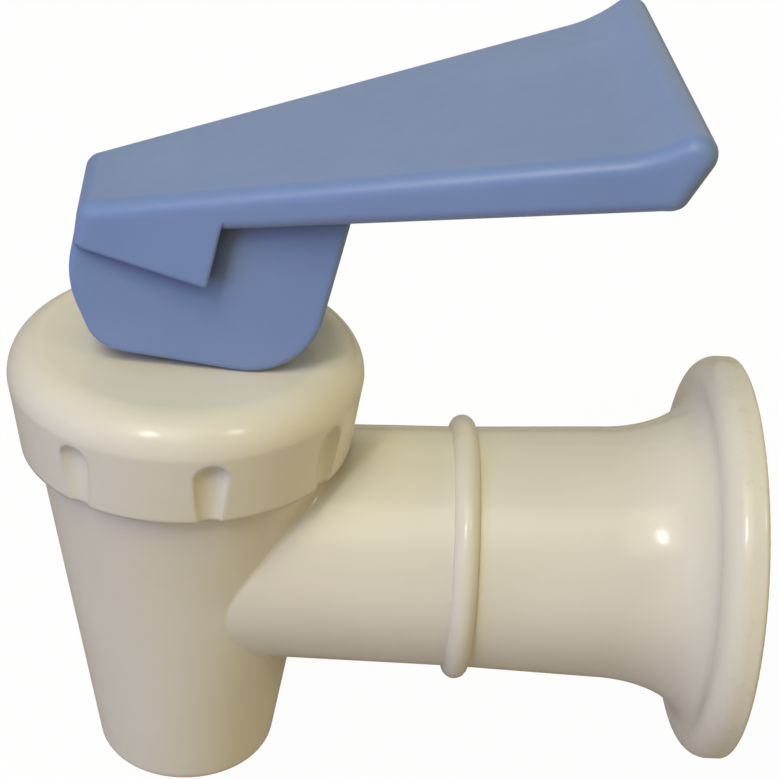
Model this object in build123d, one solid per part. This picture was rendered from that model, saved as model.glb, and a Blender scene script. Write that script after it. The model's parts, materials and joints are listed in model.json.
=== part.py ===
from build123d import *
import math
import os

os.makedirs("parts", exist_ok=True)

# Frame: origin at the centre of the flange's back face, +X into the panel, +Z up, millimetres

# Fits between pieces
SCREW_FIT = 0.05
TURN_FIT = 0.08
LOOSE_FIT = 0.3
SOFT_FIT = 0.1

# Closeness for picking edges
PICK = 0.1

# Shank and trumpet flange, turned about the X axis
REACH = 51.2
SHANK_R = 11.35
SHANK_TAPER_FRONT = 0.018
SHANK_TAPER_BACK = 0.042
BEAD_FROM_BACK = 25.54
BEAD_WIDTH = 2.3
BEAD_HEIGHT = 1.15
FLANGE_R = 19.1
FLANGE_THICK = 3.7
FLANGE_FRONT_ROUND = 2.2
FLANGE_BACK_ROUND = 0.5
FLARE_LENGTH = 9.1
FLARE_RISE = 4.3

# Inlet in the flange's back: threaded tube as a plain bore, ribs and a cored shell
THREAD_R = 5.55
THREAD_LENGTH = 15.0
TUBE_WALL = 2.05
WATER_WAY_R = 3.2
INLET_WASHER_WIDTH = 1.35
INLET_WASHER_THICK = 1.6
CORE_DEPTH = 24.0
SHELL_WALL = 2.25
FLANGE_SEAT_WIDTH = 4.2
RIB_THICK = 1.8
RIB_SETBACK = 1.0
RIB_TURN = 45.0

# Spout: a tapered outlet under a threaded neck
SPOUT_DROP = 23.3
SPOUT_FOOT_R = 8.39
SPOUT_FOOT_ROUND = 1.3
SPOUT_BLEND = 0.6
SHOULDER_LIFT = 0.05
SHOULDER_WIDTH = 1.0
NECK_R = 12.6
NECK_HEIGHT = 5.4
NECK_WALL = 3.2
SEAT_DROP = 3.0
SEAT_BORE_R = 4.2
SEAT_LAND = 1.2
SEAT_HEIGHT = 1.0
SEAT_BORE_LENGTH = 4.5
OUTLET_R = 6.2
FUNNEL_LENGTH = 2.5

# Bonnet: a screw cap with grip notches
BONNET_GAP = 0.3
BONNET_WALL = 2.37
BONNET_FLARE = 0.9
BONNET_ROUND = 3.25
BONNET_ROOF = 2.22
BONNET_DOME = 1.2
CLAMP_WIDTH = 2.45
SPRING_BOSS_DROP = 0.9
NOTCH_COUNT = 8
NOTCH_PHASE = -78.0
NOTCH_R = 1.7
NOTCH_CENTRE_OUT = 0.43
NOTCH_HEIGHT = 6.3

# Valve on the spout's axis: stem, seat cup, spring and spring washer
STEM_R = 2.35
BALL_R = 2.05
BALL_NECK_R = 1.45
BALL_LIFT = 3.6
COLLAR_LIFT = 2.5
COLLAR_R = 3.6
COLLAR_THICK = 1.4
EYE_R = 3.2
EYE_WIDTH = 5.6
WASHER_THICK = 0.7
WASHER_RIM = 0.5
SPRING_R = 4.2
WIRE_D = 1.0
SPRING_TURNS = 6
SPRING_STEPS = 12
CLOSED_TURNS = 0.9
OPENING_TURNS = 0.5
CLOSED_PITCH = 1.05
WIRE_SIDES = 8
CUP_RIM = 1.5
CUP_WALL = 1.0
CUP_PLUG_R = 5.7

# Handle hub, in the handle's own frame: X along the blade, heights from the pivot
HANDLE_TURN = 2.4
PUSH_ANGLE = 24.0
CAM_GAP = 0.1
CAM_OFFSET = 5.15
CAM_R = 6.7
SOLE_ANGLE = 6.0
TOE_LEAN = 11.9
HEEL_X = -7.6
HEEL_ROUND = 3.5
BACK_X = -10.05
BACK_RISE = 1.0
BACK_ROUND = 9.0
CHEEK_WALL = 3.05
CHEEK_SPREAD = 0.1
CHEEK_ROUND = 0.5
PIN_R = 1.25
PIN_COVER = 1.25
PIN_RECESS = 0.15

# Handle blade: tapered plan, end lip and a gusset on each side
BLADE_BACK_X = -8.8
BLADE_LENGTH = 49.8
BLADE_RISE = 8.08
BLADE_STEP = 1.75
BLADE_SPREAD = 0.2325
BLADE_SLOPE = 0.23
BLADE_EDGE_ROUND = 1.4
BLADE_BACK_ROUND = 1.5
BACK_LEAN = 0.5
TIP_LOWER_ROUND = 1.2
TIP_UNDERCUT = 2.0
LIP_HEIGHT = 1.15
LIP_ROUND = 12.0
RIM_ROUND = 1.7
GUSSET_END_X = 2.95
GUSSET_TOP_RISE = 7.33
GUSSET_LOW_RISE = 2.18
GUSSET_BACK_RISE = 4.58
GUSSET_LEAN = 1.05
LOWER_SLOPE = 0.186
BLADE_WALL = 1.8
BLADE_ROOF = 2.2
MIDDLE_RIB = 1.6

# Levels and radii that follow from the sizes above
BEAD_X = -BEAD_FROM_BACK
FLARE_END_X = -FLANGE_THICK
FLARE_START_X = FLARE_END_X - FLARE_LENGTH
FLARE_R = SHANK_R + SHANK_TAPER_BACK * (FLARE_START_X - BEAD_X)
SHOULDER_Z = SHANK_R + SHOULDER_LIFT
SHOULDER_R = NECK_R + SHOULDER_WIDTH
SPOUT_TAPER = (SHOULDER_R - SPOUT_FOOT_R) / (SHOULDER_Z + SPOUT_DROP)
NECK_TOP_Z = SHOULDER_Z + NECK_HEIGHT
CHAMBER_R = NECK_R - NECK_WALL
SEAT_Z = -SEAT_DROP
BONNET_FOOT_Z = SHOULDER_Z + BONNET_GAP
BONNET_THREAD_R = NECK_R + SCREW_FIT
BONNET_FOOT_R = BONNET_THREAD_R + BONNET_WALL
BONNET_SIDE_R = BONNET_FOOT_R + BONNET_FLARE
CLAMP_Z = NECK_TOP_Z + CUP_RIM
CEILING_Z = CLAMP_Z + BONNET_DOME
BONNET_TOP_Z = CEILING_Z + BONNET_ROOF
STEM_HOLE_R = STEM_R + LOOSE_FIT
SPRING_BOSS_R = SPRING_R - WIRE_D / 2 - 2 * SOFT_FIT
BALL_Z = SEAT_Z + BALL_LIFT
COLLAR_Z = BALL_Z + COLLAR_LIFT
WASHER_Z = COLLAR_Z + COLLAR_THICK + SCREW_FIT
SPRING_LOW_Z = WASHER_Z + WASHER_THICK
WASHER_R = SPRING_R + WIRE_D / 2 + WASHER_RIM
PIVOT_Z = BONNET_TOP_Z + CAM_GAP + CAM_R
SLOT_HALF = EYE_WIDTH / 2 + LOOSE_FIT
PUSH = math.radians(PUSH_ANGLE)
SLOT_END = CAM_R * math.tan(PUSH) + STEM_R / math.cos(PUSH) + 2 * LOOSE_FIT
SLOT_ROOF_Z = PIVOT_Z + EYE_R + 3 * LOOSE_FIT
CHEEK_HALF = SLOT_HALF + CHEEK_WALL
BLADE_HALF = CHEEK_HALF + BLADE_STEP
TIP_X = BLADE_BACK_X + BLADE_LENGTH
TIP_HALF = BLADE_HALF + BLADE_SPREAD * TIP_X

AT_SPOUT = Pos(-REACH, 0, 0)
AT_HANDLE = Pos(-REACH, 0, 0) * Rot(0, 0, HANDLE_TURN)


def arc(cx, cy, radius, first, last):
    """A circular arc in the sketch plane between two angles in degrees."""
    turns = [math.radians(a) for a in (first, (first + last) / 2, last)]
    return ThreePointArc(*[(cx + radius * math.cos(t), cy + radius * math.sin(t)) for t in turns])


def corner(before, at, after, radius):
    """The arc that rounds a corner between two straight lines."""
    first = (before - at).normalized()
    second = (after - at).normalized()
    middle = (first + second).normalized()
    half = math.radians(first.get_angle(second) / 2)
    reach = radius / math.tan(half)
    nearest = at + middle * (radius / math.sin(half) - radius)
    return ThreePointArc(at + first * reach, nearest, at + second * reach)


def outline(*steps):
    """A closed XZ face from points (x, z), rounded points (x, z, radius) and ready-made edges."""
    starts = [Vector(s[0], s[1]) if isinstance(s, tuple) else s @ 0 for s in steps]
    ends = [Vector(s[0], s[1]) if isinstance(s, tuple) else s @ 1 for s in steps]
    pieces = []
    for i, step in enumerate(steps):
        if not isinstance(step, tuple):
            pieces.append(step)
        elif len(step) == 3:
            pieces.append(corner(ends[i - 1], starts[i], starts[(i + 1) % len(steps)], step[2]))
        else:
            pieces.append(starts[i])
    edges = [p for p in pieces if not isinstance(p, Vector)]
    for i, piece in enumerate(pieces):
        before = pieces[i - 1]
        here = before if isinstance(before, Vector) else before @ 1
        there = piece if isinstance(piece, Vector) else piece @ 0
        if (there - here).length > 1e-6:
            edges.append(Line(here, there))
    return Plane.XZ * make_face(edges)


def tube_x(radius, x_from, x_to):
    """A cylinder about the X axis between two places on it."""
    return Pos((x_from + x_to) / 2, 0, 0) * Rot(0, 90, 0) * Cylinder(radius, abs(x_to - x_from))


def spread_plan(half, spread, x_from, x_to):
    """A plan that widens along X, from its half width at X = 0, as a tall block."""
    first = half + spread * x_from
    last = half + spread * x_to
    plan = Polygon((x_from, -first), (x_to, -last), (x_to, last), (x_from, first), align=None)
    return extrude(plan, 4 * PIVOT_Z)


def side_edges(solid):
    """The edges round the faces that look along Y more than any other way."""
    looks = [(face, face.normal_at()) for face in solid.faces()]
    return [e for face, look in looks if abs(look.Y) > abs(look.X) + abs(look.Z) for e in face.edges()]


def save(node, shape):
    shape.label = node
    export_step(shape, f"parts/{node}.step")


# Tap body: the cone runs past the shoulder, is blended into the shank, then cut back to the neck
spout = revolve(
    outline(
        (0, -SPOUT_DROP),
        (SPOUT_FOOT_R, -SPOUT_DROP, SPOUT_FOOT_ROUND),
        (SPOUT_FOOT_R + SPOUT_TAPER * (NECK_TOP_Z + SPOUT_DROP), NECK_TOP_Z),
        (0, NECK_TOP_Z),
    ),
    Axis.Z,
)
bead = ThreePointArc(
    (BEAD_X - BEAD_WIDTH / 2, SHANK_R - SHANK_TAPER_FRONT * BEAD_WIDTH / 2),
    (BEAD_X, SHANK_R + BEAD_HEIGHT),
    (BEAD_X + BEAD_WIDTH / 2, SHANK_R + SHANK_TAPER_BACK * BEAD_WIDTH / 2),
)
flare = EllipticalCenterArc(
    (FLARE_START_X, FLARE_R + FLARE_RISE), FLARE_LENGTH, FLARE_RISE, start_angle=270, arc_size=90
)
shank = revolve(
    outline(
        (-REACH, 0),
        (-REACH, SHANK_R - SHANK_TAPER_FRONT * (REACH - BEAD_FROM_BACK)),
        bead,
        flare,
        (FLARE_END_X, FLANGE_R, FLANGE_FRONT_ROUND),
        (0, FLANGE_R, FLANGE_BACK_ROUND),
        (0, 0),
    ),
    Axis.X,
)
tap_body = AT_SPOUT * spout + shank
tap_body = fillet(tap_body.edges().filter_by(GeomType.BSPLINE), SPOUT_BLEND)
trim_height = NECK_TOP_Z - SHOULDER_Z + 1
trim = Cylinder(SHOULDER_R + 4 * SPOUT_BLEND, trim_height) - Cylinder(NECK_R, trim_height)
tap_body -= AT_SPOUT * Pos(0, 0, SHOULDER_Z + trim_height / 2) * trim

chamber = revolve(
    outline(
        (0, NECK_TOP_Z + 1),
        (CHAMBER_R, NECK_TOP_Z + 1),
        (CHAMBER_R, SEAT_Z - SEAT_HEIGHT),
        (SEAT_BORE_R + SEAT_LAND, SEAT_Z - SEAT_HEIGHT),
        (SEAT_BORE_R + SEAT_LAND, SEAT_Z),
        (SEAT_BORE_R, SEAT_Z),
        (SEAT_BORE_R, SEAT_Z - SEAT_BORE_LENGTH),
        (OUTLET_R, SEAT_Z - SEAT_BORE_LENGTH - FUNNEL_LENGTH),
        (OUTLET_R, -SPOUT_DROP - 1),
        (0, -SPOUT_DROP - 1),
    ),
    Axis.Z,
)
tap_body -= AT_SPOUT * chamber
pocket_end = -THREAD_LENGTH - INLET_WASHER_THICK
tap_body -= tube_x(THREAD_R, -THREAD_LENGTH, 1)
tap_body -= tube_x(WATER_WAY_R + INLET_WASHER_WIDTH + SCREW_FIT, pocket_end, 0)
tap_body -= tube_x(WATER_WAY_R, CHAMBER_R / 2 + SEAT_BORE_R / 2 - REACH, 0)

core_r = FLARE_R - SHELL_WALL
core_mouth_r = FLANGE_R - FLANGE_SEAT_WIDTH
core_flare = EllipticalCenterArc(
    (FLARE_START_X, core_mouth_r),
    FLARE_LENGTH + FLANGE_THICK / 2,
    core_mouth_r - core_r,
    start_angle=270,
    arc_size=90,
)
core = revolve(
    outline(
        (1, THREAD_R + TUBE_WALL),
        (-CORE_DEPTH, THREAD_R + TUBE_WALL),
        (-CORE_DEPTH, SHANK_R - SHELL_WALL),
        core_flare,
        (1, core_mouth_r),
    ),
    Axis.X,
)
for turn in (RIB_TURN, RIB_TURN + 90):
    rib = Pos(-RIB_SETBACK - CORE_DEPTH / 2, 0, 0) * Box(CORE_DEPTH, 2 * FLANGE_R, RIB_THICK)
    core -= Rot(turn, 0, 0) * rib
tap_body -= core
save("tap_body", tap_body)

# Inlet washer at the bottom of the thread
inlet_washer = tube_x(WATER_WAY_R + INLET_WASHER_WIDTH, pocket_end, -THREAD_LENGTH)
inlet_washer -= tube_x(WATER_WAY_R, pocket_end - 1, 0)
save("inlet_washer", inlet_washer)

# Bonnet
bonnet = revolve(
    outline(
        (BONNET_FOOT_R, BONNET_FOOT_Z),
        arc(BONNET_SIDE_R - BONNET_ROUND, BONNET_TOP_Z - BONNET_ROUND, BONNET_ROUND, 0, 90),
        (STEM_HOLE_R, BONNET_TOP_Z),
        (STEM_HOLE_R, CEILING_Z - SPRING_BOSS_DROP),
        (SPRING_BOSS_R, CEILING_Z - SPRING_BOSS_DROP),
        (SPRING_BOSS_R, CEILING_Z),
        (BONNET_THREAD_R - CLAMP_WIDTH, CEILING_Z),
        (BONNET_THREAD_R - CLAMP_WIDTH, CLAMP_Z),
        (BONNET_THREAD_R, CLAMP_Z),
        (BONNET_THREAD_R, BONNET_FOOT_Z + LOOSE_FIT),
        (BONNET_THREAD_R + LOOSE_FIT, BONNET_FOOT_Z),
    ),
    Axis.Z,
)
notch_top_z = BONNET_FOOT_Z + NOTCH_HEIGHT - NOTCH_R
notch = Pos(0, 0, notch_top_z) * Sphere(NOTCH_R)
notch += Pos(0, 0, notch_top_z - NOTCH_HEIGHT / 2) * Cylinder(NOTCH_R, NOTCH_HEIGHT)
for i in range(NOTCH_COUNT):
    turn = Rot(0, 0, NOTCH_PHASE + 360 / NOTCH_COUNT * i)
    bonnet -= turn * Pos(BONNET_SIDE_R + NOTCH_CENTRE_OUT, 0, 0) * notch
save("bonnet", AT_SPOUT * bonnet)

# Stem: ball, neck, collar, shaft and an eye for the cross pin
stem = revolve(
    outline(
        (0, BALL_Z - BALL_R),
        arc(0, BALL_Z, BALL_R, -90, 45),
        (BALL_NECK_R, COLLAR_Z),
        (COLLAR_R, COLLAR_Z),
        (COLLAR_R, COLLAR_Z + COLLAR_THICK),
        (STEM_R, COLLAR_Z + COLLAR_THICK),
        (STEM_R, PIVOT_Z),
        (0, PIVOT_Z),
    ),
    Axis.Z,
)
across = Pos(0, 0, PIVOT_Z) * Rot(90, 0, 0)
stem += across * Cylinder(EYE_R, EYE_WIDTH)
stem -= across * Cylinder(PIN_R + TURN_FIT, 2 * EYE_WIDTH)
save("stem", AT_HANDLE * stem)

# Spring washer that rides on the collar
washer = Cylinder(WASHER_R, WASHER_THICK) - Cylinder(STEM_R + LOOSE_FIT, WASHER_THICK)
save("spring_washer", AT_SPOUT * Pos(0, 0, WASHER_Z + WASHER_THICK / 2) * washer)

# Closing spring with a closed coil at each end
steps = SPRING_TURNS * SPRING_STEPS
openings = []
for i in range(steps):
    turn = (i + 1 / 2) / SPRING_STEPS
    from_end = min(turn, SPRING_TURNS - turn)
    part_open = min(max((from_end - CLOSED_TURNS) / OPENING_TURNS, 0), 1)
    openings.append(part_open * part_open * (3 - 2 * part_open))
span = CEILING_Z - SPRING_LOW_Z - WIRE_D
spare = (span - CLOSED_PITCH * SPRING_TURNS) * SPRING_STEPS / sum(openings)
height = SPRING_LOW_Z + WIRE_D / 2
points = [(SPRING_R, 0, height)]
for i in range(steps):
    angle = 2 * math.pi * (i + 1) / SPRING_STEPS
    height += (CLOSED_PITCH + spare * openings[i]) / SPRING_STEPS
    points.append((SPRING_R * math.cos(angle), SPRING_R * math.sin(angle), height))
path = Spline(*points)
wire = Plane(origin=path @ 0, z_dir=path % 0) * RegularPolygon(WIRE_D / 2, WIRE_SIDES)
spring = sweep(wire, path=path, is_frenet=True)
save("spring", AT_SPOUT * spring)

# Seat cup: clamped rim, bell wall and a plug that closes the seat
cup_floor_z = COLLAR_Z - SOFT_FIT
cup_inner_r = WASHER_R + 5 * SOFT_FIT
cup_mouth_r = CHAMBER_R - CUP_WALL - 2 * SOFT_FIT
bell_z = NECK_TOP_Z - 2 * CUP_WALL
seat_cup = revolve(
    outline(
        (NECK_R - 2 * SOFT_FIT, CLAMP_Z),
        (NECK_R - 2 * SOFT_FIT, NECK_TOP_Z),
        (cup_mouth_r + CUP_WALL, NECK_TOP_Z),
        (cup_mouth_r + CUP_WALL / 2, bell_z),
        (cup_inner_r + CUP_WALL, cup_floor_z + CUP_WALL),
        (cup_inner_r + CUP_WALL, cup_floor_z - CUP_WALL),
        (CUP_PLUG_R, SEAT_Z + CUP_RIM),
        (CUP_PLUG_R, SEAT_Z, CUP_RIM / 3),
        (0, SEAT_Z),
        (0, BALL_Z - BALL_R - SOFT_FIT),
        arc(0, BALL_Z, BALL_R + SOFT_FIT, -90, 45),
        (BALL_NECK_R + SOFT_FIT, cup_floor_z),
        (cup_inner_r, cup_floor_z),
        (cup_inner_r, cup_floor_z + 2 * CUP_WALL),
        (cup_mouth_r - CUP_WALL / 2, bell_z),
        (cup_mouth_r, CLAMP_Z),
    ),
    Axis.Z,
)
save("seat_cup", AT_SPOUT * seat_cup)

# Handle blade: the tapered plan cut by a side outline that has the end lip and the gusset
back_z = PIVOT_Z + BLADE_RISE
slope = math.atan(BLADE_SLOPE)
along = Vector(math.cos(slope), math.sin(slope))
square = Vector(-math.sin(slope), math.cos(slope))
rim_x = TIP_X - RIM_ROUND
rim = Vector(rim_x, back_z + BLADE_SLOPE * (rim_x - BLADE_BACK_X) + LIP_HEIGHT - RIM_ROUND)
lip_line = Vector(BLADE_BACK_X, back_z) + square * LIP_ROUND
behind = (rim - lip_line).dot(along)
above = (lip_line - rim).dot(square)
lip = lip_line + along * (behind - math.sqrt((LIP_ROUND + RIM_ROUND) ** 2 - above**2))
lip_turn = math.degrees(math.atan2(rim.Y - lip.Y, rim.X - lip.X))

gusset_top_z = PIVOT_Z + GUSSET_TOP_RISE
lower_x = TIP_X - TIP_UNDERCUT
lower_z = gusset_top_z + LOWER_SLOPE * (lower_x - GUSSET_END_X)
to_rim = rim - Vector(lower_x, lower_z)
tip_turn = math.degrees(math.atan2(to_rim.Y, to_rim.X) - math.asin(RIM_ROUND / to_rim.length))
foot = (
    (lower_x, lower_z),
    (GUSSET_END_X, gusset_top_z),
    (GUSSET_END_X - GUSSET_LEAN, PIVOT_Z + GUSSET_LOW_RISE),
    (BLADE_BACK_X - BACK_LEAN, PIVOT_Z + GUSSET_BACK_RISE),
)
side = outline(
    (BLADE_BACK_X, back_z, BLADE_BACK_ROUND),
    arc(lip.X, lip.Y, LIP_ROUND, math.degrees(slope) - 90, lip_turn),
    arc(rim.X, rim.Y, RIM_ROUND, lip_turn + 180, tip_turn - 90),
    *foot,
)
blade = extrude(side, 2 * TIP_HALF, both=True)
blade &= spread_plan(BLADE_HALF, BLADE_SPREAD, 2 * BACK_X, 2 * TIP_X)


def on_foot(point):
    """Whether a point is a corner of the blade's lower outline."""
    return any(math.hypot(point.X - x, point.Z - z) < PICK for x, z in foot)


upper_edges = [e for e in side_edges(blade) if not (on_foot(e @ 0) and on_foot(e @ 1))]
blade = fillet(upper_edges, BLADE_EDGE_ROUND)
low_edge = Vector(lower_x, 0, lower_z)
blade = fillet([e for e in blade.edges() if (e.center() - low_edge).length < PICK], TIP_LOWER_ROUND)

# Handle hub: a sole and a cam round that rock on the bonnet
cam = arc(CAM_OFFSET, PIVOT_Z, CAM_R, 270 - SOLE_ANGLE, 360 - TOE_LEAN)
sole_x, sole_z = (cam @ 0).X, (cam @ 0).Y
toe_x, toe_z = (cam @ 1).X, (cam @ 1).Y
hub_top_z = gusset_top_z + LOWER_SLOPE * toe_x
heel_z = sole_z + math.tan(math.radians(SOLE_ANGLE)) * (sole_x - HEEL_X)
hub = extrude(
    outline(
        (BLADE_BACK_X, gusset_top_z),
        (BACK_X, PIVOT_Z + BACK_RISE, BACK_ROUND),
        (HEEL_X, heel_z, HEEL_ROUND),
        cam,
        (toe_x + math.tan(math.radians(TOE_LEAN)) * (hub_top_z - toe_z), hub_top_z),
    ),
    2 * CHEEK_HALF,
    both=True,
)
hub &= spread_plan(CHEEK_HALF, CHEEK_SPREAD, 2 * BACK_X, 2 * TIP_X)
rim_edges = [e for e in side_edges(hub) if e.center().Z < gusset_top_z - CHEEK_ROUND]
hub = fillet(rim_edges, CHEEK_ROUND)
handle = blade + hub

# Hollow underside of the blade, with a middle rib
pocket_x = toe_x + GUSSET_END_X
pocket_end_x = lower_x - BLADE_WALL
roof = outline(
    (pocket_x, PIVOT_Z),
    (pocket_x, back_z + BLADE_SLOPE * (pocket_x - BLADE_BACK_X) - BLADE_ROOF),
    (pocket_end_x, back_z + BLADE_SLOPE * (pocket_end_x - BLADE_BACK_X) - BLADE_ROOF),
    (pocket_end_x, PIVOT_Z),
)
pocket = extrude(roof, 2 * TIP_HALF, both=True)
pocket &= spread_plan(BLADE_HALF - BLADE_WALL, BLADE_SPREAD, 0, 2 * TIP_X)
handle -= pocket - Pos(TIP_X, 0, PIVOT_Z) * Box(4 * TIP_X, MIDDLE_RIB, 2 * PIVOT_Z)

# Stem slot and the pin's hole, blind on the near cheek
slot_height = SLOT_ROOF_Z - BONNET_TOP_Z + CAM_R
handle -= Pos(0, 0, SLOT_ROOF_Z - slot_height / 2) * Box(2 * SLOT_END, 2 * SLOT_HALF, slot_height)
pin_near_y = PIN_COVER - CHEEK_HALF
pin_far_y = CHEEK_HALF - PIN_RECESS
hole_far_y = 2 * CHEEK_HALF
handle -= Pos(0, (pin_near_y + hole_far_y) / 2, 0) * across * Cylinder(PIN_R, hole_far_y - pin_near_y)
cross_pin = Pos(0, (pin_near_y + pin_far_y) / 2, 0) * across * Cylinder(PIN_R, pin_far_y - pin_near_y)
save("handle", AT_HANDLE * handle)
save("cross_pin", AT_HANDLE * cross_pin)
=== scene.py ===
import bpy
import json
import math
from mathutils import Matrix, Vector


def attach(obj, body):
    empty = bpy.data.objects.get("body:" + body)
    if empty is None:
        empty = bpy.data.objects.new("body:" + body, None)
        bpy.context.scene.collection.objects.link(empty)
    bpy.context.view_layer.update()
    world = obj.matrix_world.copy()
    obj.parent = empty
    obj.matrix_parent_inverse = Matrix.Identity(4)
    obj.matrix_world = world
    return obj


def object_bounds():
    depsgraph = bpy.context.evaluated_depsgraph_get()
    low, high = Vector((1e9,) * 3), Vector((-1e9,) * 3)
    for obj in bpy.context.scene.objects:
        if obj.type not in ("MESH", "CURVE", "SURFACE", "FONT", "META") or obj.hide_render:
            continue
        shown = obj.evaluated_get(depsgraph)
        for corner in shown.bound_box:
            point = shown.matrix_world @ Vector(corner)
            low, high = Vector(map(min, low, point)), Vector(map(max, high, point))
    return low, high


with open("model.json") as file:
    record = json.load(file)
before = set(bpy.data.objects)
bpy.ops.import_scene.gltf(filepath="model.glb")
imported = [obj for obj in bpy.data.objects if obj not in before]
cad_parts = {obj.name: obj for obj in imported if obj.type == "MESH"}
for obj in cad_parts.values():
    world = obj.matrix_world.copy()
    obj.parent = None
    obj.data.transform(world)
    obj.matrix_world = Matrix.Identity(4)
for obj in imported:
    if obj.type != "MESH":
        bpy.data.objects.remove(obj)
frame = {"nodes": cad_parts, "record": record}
cad_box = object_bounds()
nodes = frame["nodes"]
record = frame["record"]

# Camera, fitted to the photograph's frame
PHOTO_PIXELS = 779
FOCAL_PIXELS = 1879.9
SENSOR_MM = 36.0
CAMERA_AZIMUTH = math.radians(-2.535)
CAMERA_ELEVATION = math.radians(30.474)
CAMERA_ROLL = math.radians(3.639)
CAMERA_DISTANCE = 0.17019
AIM = Vector((-0.03294, 0.0, 0.01693))

# Plastic finish, in metres, with the grain as a share of one
CLOUD_SIZE = 0.012
GRAIN_SIZE = 0.00045
GRAIN_SHARE = 0.15
PEEL_SIZE = 0.0016
PEEL_DEPTH = 0.0002
PEEL_STRENGTH = 0.03
EDGE_ROUND = 0.00022
SOFT_EDGE = 0.0006
# Reach of the painted shade in the handle's inner corners
PAINTED_SHADE_REACH = 0.0024

# Scuffs on the flange's rim
RIM_FRONT = -0.0032
RIM_FADE = 0.0012
SCUFF_SIZE = 0.0016
SCUFF_SHARE = 0.35

# Steel and rubber finish
DRAW_MARK = 0.00025
BLOOM_SIZE = 0.003
RUBBER_GRAIN = 0.0006
SKIN_DEPTH = 0.0001
GLOW_DEPTH = 0.002

# Inlet thread, cut inwards from the bore's wall
THREAD_PITCH = 0.00127
THREAD_HEIGHT = 0.0006
THREAD_CREST = 0.00020
THREAD_ROOT = 0.00108
THREAD_LEAD_IN = 0.0012
THREAD_RUN_OUT = 0.0016
THREAD_STEPS = 48
WALL_OVERLAP = 0.00005

# Stage
FLOOR_DROP = 0.012
FLOOR_SIZE = 6.0
FLOOR_WHITE = 0.96
FLOOR_SEEN = (0.95, 0.95, 0.95, 1)
FLOOR_BOUNCE = (0.43, 0.40, 0.33, 1)
LAMP_DISTANCE = 0.60


def linear(red, green, blue):
    """A scene-linear colour from its 0 to 255 display values."""
    channels = []
    for value in (red, green, blue):
        share = value / 255
        channels.append(share / 12.92 if share <= 0.04045 else ((share + 0.055) / 1.055) ** 2.4)
    return (*channels, 1.0)


def new_material(name):
    """An empty node material with its tree, shader and texture coordinates."""
    material = bpy.data.materials.new(name)
    material.use_nodes = True
    tree = material.node_tree
    shader = tree.nodes["Principled BSDF"]
    place = tree.nodes.new("ShaderNodeTexCoord").outputs["Object"]
    return material, tree, shader, place


def feed(tree, value, socket):
    """Links a socket to another node's output, or sets it to a constant."""
    if hasattr(value, "is_output"):
        tree.links.new(value, socket)
    else:
        socket.default_value = value


def noise(tree, place, size, detail=2.0, roughness=0.5):
    """Noise with features of about the given size in metres."""
    node = tree.nodes.new("ShaderNodeTexNoise")
    node.inputs["Scale"].default_value = 1.0 / size
    node.inputs["Detail"].default_value = detail
    node.inputs["Roughness"].default_value = roughness
    tree.links.new(place, node.inputs["Vector"])
    return node.outputs["Fac"]


def spread(tree, value, low, high, from_low=0.3, from_high=0.7):
    """A value stretched to a new range and held inside it."""
    node = tree.nodes.new("ShaderNodeMapRange")
    node.inputs["From Min"].default_value = from_low
    node.inputs["From Max"].default_value = from_high
    node.inputs["To Min"].default_value = low
    node.inputs["To Max"].default_value = high
    tree.links.new(value, node.inputs["Value"])
    return node.outputs["Result"]


def maths(tree, operation, first, second):
    """Two values joined by one operation."""
    node = tree.nodes.new("ShaderNodeMath")
    node.operation = operation
    feed(tree, first, node.inputs[0])
    feed(tree, second, node.inputs[1])
    return node.outputs["Value"]


def mix(tree, factor, first, second):
    """One colour laid over another by a factor."""
    node = tree.nodes.new("ShaderNodeMix")
    node.data_type = "RGBA"
    feed(tree, factor, node.inputs[0])
    feed(tree, first, node.inputs[6])
    feed(tree, second, node.inputs[7])
    return node.outputs[2]


def bumped(tree, shader, height, strength, distance, edge=0.0):
    """Surface relief, over edges that look slightly rounded where an edge radius is given."""
    bump = tree.nodes.new("ShaderNodeBump")
    bump.inputs["Strength"].default_value = strength
    bump.inputs["Distance"].default_value = distance
    tree.links.new(height, bump.inputs["Height"])
    if edge:
        bevel = tree.nodes.new("ShaderNodeBevel")
        bevel.samples = 6
        bevel.inputs["Radius"].default_value = edge
        tree.links.new(bevel.outputs["Normal"], bump.inputs["Normal"])
    tree.links.new(bump.outputs["Normal"], shader.inputs["Normal"])


def moulded_plastic(name, tone, deep_tone, gloss_low, gloss_high, edge=EDGE_ROUND):
    """Moulded plastic with faint clouds, fine grain and a light orange peel."""
    material, tree, shader, place = new_material(name)
    clouds = spread(tree, noise(tree, place, CLOUD_SIZE, 3.0), 0.0, 1.0)
    grain = spread(tree, noise(tree, place, GRAIN_SIZE, 2.0, 0.6), 0.0, GRAIN_SHARE)
    colour = mix(tree, clouds, tone, deep_tone)
    colour = mix(tree, grain, colour, deep_tone)
    gloss = spread(tree, noise(tree, place, PEEL_SIZE, 3.0), gloss_low, gloss_high)
    tree.links.new(colour, shader.inputs["Base Color"])
    tree.links.new(gloss, shader.inputs["Roughness"])
    bumped(tree, shader, noise(tree, place, PEEL_SIZE, 1.0), PEEL_STRENGTH, PEEL_DEPTH, edge)
    return material


def paint_corner_shade(material, painted_shade_tone):
    """Painted shade: a darker colour in the piece's own inner corners, where little light reaches."""
    tree = material.node_tree
    shader = tree.nodes["Principled BSDF"]
    corner = tree.nodes.new("ShaderNodeAmbientOcclusion")
    corner.samples = 8
    corner.only_local = True
    corner.inputs["Distance"].default_value = PAINTED_SHADE_REACH
    base = shader.inputs["Base Color"].links[0].from_socket
    openness = spread(tree, corner.outputs["AO"], 0.0, 1.0, 0.4, 1.0)
    tree.links.new(mix(tree, openness, painted_shade_tone, base), shader.inputs["Base Color"])


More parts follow.
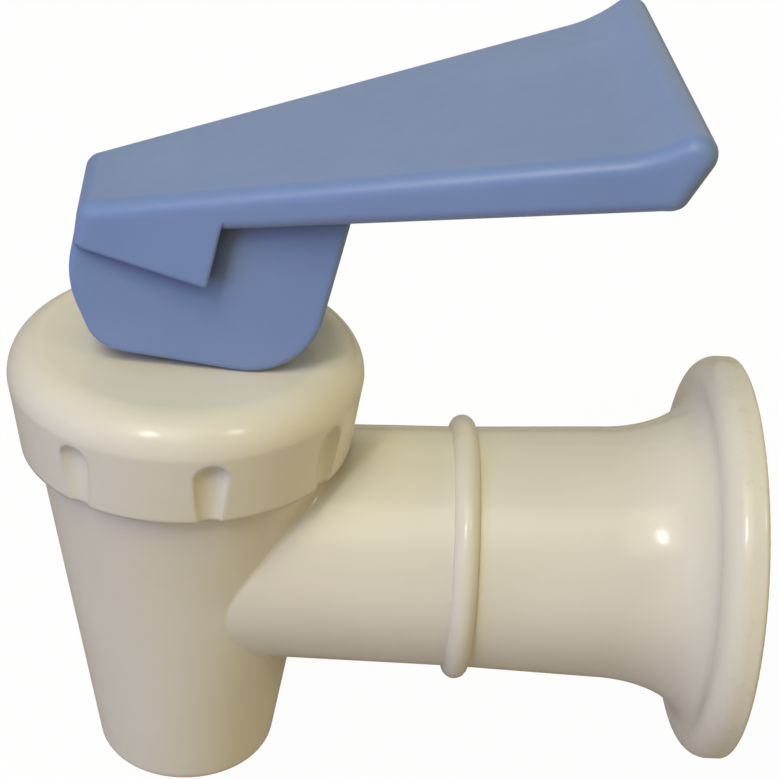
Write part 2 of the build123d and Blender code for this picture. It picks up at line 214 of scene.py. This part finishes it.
def wear(material, scuffed_tone):
    """Faint scuffs on the flange's rim, where it has rubbed on a panel or a box."""
    tree = material.node_tree
    shader = tree.nodes["Principled BSDF"]
    place = tree.nodes.new("ShaderNodeTexCoord").outputs["Object"]
    split = tree.nodes.new("ShaderNodeSeparateXYZ")
    tree.links.new(place, split.inputs["Vector"])
    on_rim = spread(tree, split.outputs["X"], 0.0, 1.0, RIM_FRONT, RIM_FRONT + RIM_FADE)
    marks = spread(tree, noise(tree, place, SCUFF_SIZE, 5.0, 0.7), 0.0, SCUFF_SHARE, 0.56, 0.72)
    scuffs = maths(tree, "MULTIPLY", on_rim, marks)
    base = shader.inputs["Base Color"].links[0].from_socket
    tree.links.new(mix(tree, scuffs, base, scuffed_tone), shader.inputs["Base Color"])


def drawn_steel(name, tone, deep_tone):
    """Bright steel with fine drawing marks along the wire or the turned face."""
    material, tree, shader, place = new_material(name)
    marks = noise(tree, place, DRAW_MARK, 4.0, 0.7)
    tree.links.new(mix(tree, spread(tree, marks, 0.0, 1.0), tone, deep_tone), shader.inputs["Base Color"])
    tree.links.new(spread(tree, marks, 0.22, 0.42), shader.inputs["Roughness"])
    shader.inputs["Metallic"].default_value = 1.0
    bumped(tree, shader, marks, 0.08, SKIN_DEPTH)
    return material


def soft_rubber(name, tone, deep_tone, soft):
    """Dull elastic with a bloom of lighter patches."""
    material, tree, shader, place = new_material(name)
    bloom = spread(tree, noise(tree, place, BLOOM_SIZE, 4.0), 0.0, 1.0)
    tree.links.new(mix(tree, bloom, tone, deep_tone), shader.inputs["Base Color"])
    tree.links.new(spread(tree, bloom, 0.55, 0.75, 0.0, 1.0), shader.inputs["Roughness"])
    shader.inputs["Subsurface Weight"].default_value = soft
    shader.inputs["Subsurface Scale"].default_value = GLOW_DEPTH
    bumped(tree, shader, noise(tree, place, RUBBER_GRAIN, 3.0), 0.12, SKIN_DEPTH)
    return material


def dress(obj, material):
    """Gives an object one material in place of those it has."""
    obj.data.materials.clear()
    obj.data.materials.append(material)


def inlet_thread(mount):
    """A helical ridge on the wall of the inlet bore, with its depth along the bore's axis."""
    wall = mount["dims"]["r_mm"] / 1000 + WALL_OVERLAP
    crest = mount["dims"]["r_mm"] / 1000 - THREAD_HEIGHT
    depth = mount["dims"]["length_mm"] / 1000
    mouth = Vector(mount["pos_m"])
    turns = (depth - THREAD_LEAD_IN - THREAD_RUN_OUT) / THREAD_PITCH
    count = int(turns * THREAD_STEPS)
    points = []
    faces = []
    for i in range(count + 1):
        turn = i / THREAD_STEPS
        angle = 2 * math.pi * turn
        rise = min(1.0, 2 * turn, 2 * (count / THREAD_STEPS - turn))
        top = wall + (crest - wall) * max(rise, 0.05)
        along = -THREAD_LEAD_IN - THREAD_PITCH * turn
        section = (
            (wall, THREAD_ROOT / 2),
            (top, THREAD_CREST / 2),
            (top, -THREAD_CREST / 2),
            (wall, -THREAD_ROOT / 2),
        )
        for radius, offset in section:
            around = Vector((along + offset, radius * math.cos(angle), radius * math.sin(angle)))
            points.append(mouth + around)
    for i in range(count):
        for k in range(4):
            faces.append((4 * i + k, 4 * i + (k + 1) % 4, 4 * i + 4 + (k + 1) % 4, 4 * i + 4 + k))
    faces.append((3, 2, 1, 0))
    faces.append((4 * count, 4 * count + 1, 4 * count + 2, 4 * count + 3))
    mesh = bpy.data.meshes.new("inlet_thread")
    mesh.from_pydata(points, [], faces)
    mesh.validate()
    thread = bpy.data.objects.new("inlet_thread", mesh)
    bpy.context.scene.collection.objects.link(thread)
    return thread


def seen_directly(tree):
    """One for camera and transmission rays, nought for the rest."""
    path = tree.nodes.new("ShaderNodeLightPath")
    return maths(tree, "MAXIMUM", path.outputs["Is Camera Ray"], path.outputs["Is Transmission Ray"])


def pale_floor(height):
    """A wide white floor that keeps a faint shadow."""
    bpy.ops.mesh.primitive_plane_add(size=FLOOR_SIZE, location=(AIM.x, AIM.y, height))
    floor = bpy.context.object
    floor.name = "floor"
    material = bpy.data.materials.new("floor")
    material.use_nodes = True
    tree = material.node_tree
    tree.nodes.remove(tree.nodes["Principled BSDF"])
    matt = tree.nodes.new("ShaderNodeBsdfDiffuse")
    seen = seen_directly(tree)
    tree.links.new(mix(tree, seen, FLOOR_BOUNCE, FLOOR_SEEN), matt.inputs["Color"])
    glow = tree.nodes.new("ShaderNodeEmission")
    blend = tree.nodes.new("ShaderNodeMixShader")
    tree.links.new(maths(tree, "MULTIPLY", seen, FLOOR_WHITE), blend.inputs["Fac"])
    tree.links.new(matt.outputs["BSDF"], blend.inputs[1])
    tree.links.new(glow.outputs["Emission"], blend.inputs[2])
    tree.links.new(blend.outputs["Shader"], tree.nodes["Material Output"].inputs["Surface"])
    dress(floor, material)


def studio_air(colour, level):
    """Even light from all round, with a white background."""
    world = bpy.data.worlds.new("studio")
    bpy.context.scene.world = world
    world.use_nodes = True
    tree = world.node_tree
    air = tree.nodes["Background"]
    air.inputs["Color"].default_value = (*colour, 1)
    air.inputs["Strength"].default_value = level
    backdrop = tree.nodes.new("ShaderNodeBackground")
    backdrop.inputs["Color"].default_value = (1, 1, 1, 1)
    blend = tree.nodes.new("ShaderNodeMixShader")
    tree.links.new(seen_directly(tree), blend.inputs["Fac"])
    tree.links.new(air.outputs["Background"], blend.inputs[1])
    tree.links.new(backdrop.outputs["Background"], blend.inputs[2])
    tree.links.new(blend.outputs["Shader"], tree.nodes["World Output"].inputs["Surface"])


def softbox(name, towards, size, level, colour=(1, 1, 1), glossy=True, tall=1.0):
    """A flat lamp aimed at the object, where level 1 alone shows a white surface as white."""
    lamp = bpy.data.lights.new(name, "AREA")
    lamp.shape = "RECTANGLE"
    lamp.size = size
    lamp.size_y = size * tall
    lamp.energy = level * math.pi ** 2 * LAMP_DISTANCE ** 2
    lamp.color = colour
    obj = bpy.data.objects.new(name, lamp)
    bpy.context.scene.collection.objects.link(obj)
    direction = Vector(towards).normalized()
    obj.location = AIM + direction * LAMP_DISTANCE
    obj.rotation_euler = direction.to_track_quat("Z", "Y").to_euler()
    obj.visible_glossy = glossy


def photo_camera():
    """The photograph's viewpoint, from the fitted angles, distance and focal length."""
    back = Vector((
        math.sin(CAMERA_AZIMUTH) * math.cos(CAMERA_ELEVATION),
        -math.cos(CAMERA_AZIMUTH) * math.cos(CAMERA_ELEVATION),
        math.sin(CAMERA_ELEVATION),
    ))
    level = Vector((math.cos(CAMERA_AZIMUTH), math.sin(CAMERA_AZIMUTH), 0))
    upright = back.cross(level)
    right = level * math.cos(CAMERA_ROLL) + upright * math.sin(CAMERA_ROLL)
    up = upright * math.cos(CAMERA_ROLL) - level * math.sin(CAMERA_ROLL)
    lens = bpy.data.cameras.new("photo_camera")
    lens.sensor_width = SENSOR_MM
    lens.lens = SENSOR_MM * FOCAL_PIXELS / PHOTO_PIXELS
    lens.clip_start = 0.01
    camera = bpy.data.objects.new("photo_camera", lens)
    bpy.context.scene.collection.objects.link(camera)
    turn = Matrix((right, up, back)).transposed().to_4x4()
    camera.matrix_world = Matrix.Translation(AIM + back * CAMERA_DISTANCE) @ turn
    bpy.context.scene.camera = camera


# Finishes
ivory_look = (linear(224, 217, 198), linear(219, 211, 190), 0.15, 0.21)
ivory = moulded_plastic("ivory_plastic", *ivory_look)
soft_ivory = moulded_plastic("soft_ivory_plastic", *ivory_look, SOFT_EDGE)
worn_ivory = moulded_plastic("worn_ivory_plastic", *ivory_look)
wear(worn_ivory, linear(196, 186, 166))
blue = moulded_plastic("blue_plastic", linear(122, 144, 186), linear(116, 138, 180), 0.28, 0.36, SOFT_EDGE)
# Painted shade, a deep blue, in the handle's inner corners
paint_corner_shade(blue, linear(62, 77, 128))
white = moulded_plastic("white_plastic", linear(232, 232, 226), linear(222, 221, 212), 0.34, 0.44)
steel = drawn_steel("steel", linear(198, 198, 200), linear(168, 168, 172))
silicone = soft_rubber("silicone", linear(222, 223, 216), linear(206, 208, 200), 0.35)
rubber = soft_rubber("washer_rubber", linear(26, 26, 27), linear(42, 42, 44), 0.0)
finish_of = {
    "tap_body": worn_ivory,
    "bonnet": soft_ivory,
    "handle": blue,
    "stem": white,
    "cross_pin": steel,
    "spring": steel,
    "spring_washer": steel,
    "seat_cup": silicone,
    "inlet_washer": rubber,
}
for node, finish in finish_of.items():
    dress(nodes[node], finish)

# Inlet thread
mounts = {mount["name"]: mount for mount in record["mounts"]}
thread = inlet_thread(mounts["inlet_thread"])
dress(thread, ivory)
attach(thread, "tap")

# Stage, light and camera
pale_floor(cad_box[0][2] - FLOOR_DROP)
studio_air((1.0, 0.95, 0.66), 0.16)
softbox("key_lamp", (-0.24, -0.58, 0.80), 0.45, 0.27, (1.0, 0.99, 0.72))
softbox("high_key", (-0.25, -0.45, 0.86), 0.16, 0.23, (1.0, 0.99, 0.72), glossy=False)
softbox("top_lamp", (0.05, -0.10, 1.0), 0.30, 0.05, (0.97, 0.98, 1.0), glossy=False)
softbox("back_lamp", (0.10, 0.86, 0.50), 0.60, 0.12, (1.0, 0.95, 0.80))
softbox("back_fill", (-0.30, 0.95, 0.05), 0.60, 0.34, (1.0, 0.96, 0.86), glossy=False)
softbox("back_side", (0.75, 0.66, 0.05), 0.40, 0.38, (1.0, 0.96, 0.86), glossy=False)
softbox("cool_side", (-0.72, -0.60, 0.30), 0.40, 0.49, (0.42, 0.46, 1.0), glossy=False)
softbox("warm_side", (0.90, -0.40, 0.0), 0.40, 0.21, (1.0, 0.64, 0.03), glossy=False)
softbox("first_spark", (-0.31, -0.63, 0.71), 0.040, 0.13, tall=2.6)
softbox("second_spark", (0.42, -0.52, 0.74), 0.036, 0.06, tall=2.0)
photo_camera()
bpy.context.scene.view_settings.view_transform = "Standard"
